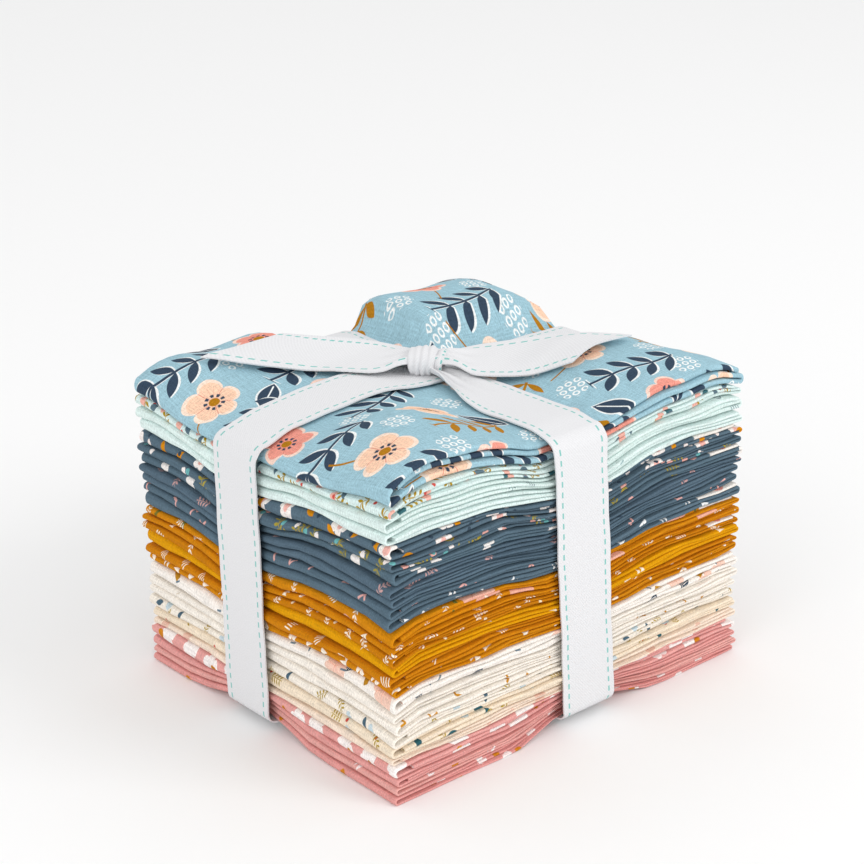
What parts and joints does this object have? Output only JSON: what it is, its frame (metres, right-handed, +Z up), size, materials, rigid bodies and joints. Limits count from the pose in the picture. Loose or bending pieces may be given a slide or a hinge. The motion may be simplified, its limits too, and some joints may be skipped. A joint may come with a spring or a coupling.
{
  "type": "fat quarter bundle",
  "caption": "Stack of folded cotton quilting prints in shaded colour groups, tied crosswise with a white ribbon that is knotted on top.",
  "frame": {"origin": "middle of the base, where the bounding box meets the surface the bundle rests on", "axes": "+X along the longer side of the folded pads, away from the round bends; +Y along the shorter side; +Z up, through the stack to the knot"},
  "size_m": [0.155, 0.134, 0.1114],
  "materials": {
    "blue_floral": "matt plain-weave cotton, light blue with coral, peach and navy flowers",
    "mint_sprig": "matt plain-weave cotton, pale mint with small sprigs",
    "mint_script": "matt plain-weave cotton, pale mint with fine grey marks",
    "mint_plain": "matt plain-weave cotton, pale mint",
    "slate_bloom": "matt plain-weave cotton, slate with white and coral flowers",
    "slate_sprig": "matt plain-weave cotton, slate with small sprigs",
    "slate_bud": "matt plain-weave cotton, slate with white and pink buds",
    "slate_fleck": "matt plain-weave cotton, slate with fine flecks",
    "slate_line": "matt plain-weave cotton, slate with fine lines",
    "slate_pip": "matt plain-weave cotton, slate with small pink marks",
    "slate_dot": "matt plain-weave cotton, slate with small white marks",
    "mustard_bloom": "matt plain-weave cotton, mustard with pink flowers",
    "mustard_leaf": "matt plain-weave cotton, mustard with white leaves",
    "mustard_fleck": "matt plain-weave cotton, mustard with fine flecks",
    "mustard_gold": "matt plain-weave cotton, plain gold",
    "mustard_line": "matt plain-weave cotton, mustard with fine lines",
    "mustard_dart": "matt plain-weave cotton, mustard with small white marks",
    "cream_bloom": "matt plain-weave cotton, cream with navy leaves and pink flowers",
    "cream_plain": "matt plain-weave cotton, cream",
    "cream_angle": "matt plain-weave cotton, cream with small orange marks",
    "cream_line": "matt plain-weave cotton, cream with fine lines",
    "beige_leaf": "matt plain-weave cotton, beige with teal and pale blue leaves",
    "beige_blush": "matt plain-weave cotton, faint pink beige",
    "pink_bloom": "matt plain-weave cotton, pink with white flowers",
    "pink_plain": "matt plain-weave cotton, pink",
    "pink_dart": "matt plain-weave cotton, pink with small orange marks",
    "pink_fleck": "matt plain-weave cotton, pink with fine flecks",
    "ribbon": "white twill ribbon with an aqua running line along each edge, soft sheen"
  },
  "bodies": {
    "root": {"quarter_01_blue_floral": "blue_floral", "quarter_02_mint_sprig": "mint_sprig", "quarter_03_mint_script": "mint_script", "quarter_04_mint_plain": "mint_plain", "quarter_05_slate_bloom": "slate_bloom", "quarter_06_slate_sprig": "slate_sprig", "quarter_07_slate_bud": "slate_bud", "quarter_08_slate_fleck": "slate_fleck", "quarter_09_slate_line": "slate_line", "quarter_10_slate_pip": "slate_pip", "quarter_11_slate_dot": "slate_dot", "quarter_12_mustard_bloom": "mustard_bloom", "quarter_13_mustard_leaf": "mustard_leaf", "quarter_14_mustard_fleck": "mustard_fleck", "quarter_15_mustard_gold": "mustard_gold", "quarter_16_mustard_line": "mustard_line", "quarter_17_mustard_dart": "mustard_dart", "quarter_18_cream_bloom": "cream_bloom", "quarter_19_cream_plain": "cream_plain", "quarter_20_cream_angle": "cream_angle", "quarter_21_cream_line": "cream_line", "quarter_22_beige_leaf": "beige_leaf", "quarter_23_beige_blush": "beige_blush", "quarter_24_pink_bloom": "pink_bloom", "quarter_25_pink_plain": "pink_plain", "quarter_26_pink_dart": "pink_dart", "quarter_27_pink_fleck": "pink_fleck", "ribbon_long": "ribbon", "ribbon_cross": "ribbon", "ribbon_knot": "ribbon", "ribbon_end_left": "ribbon", "ribbon_end_right": "ribbon"}
  },
  "joints": []
}
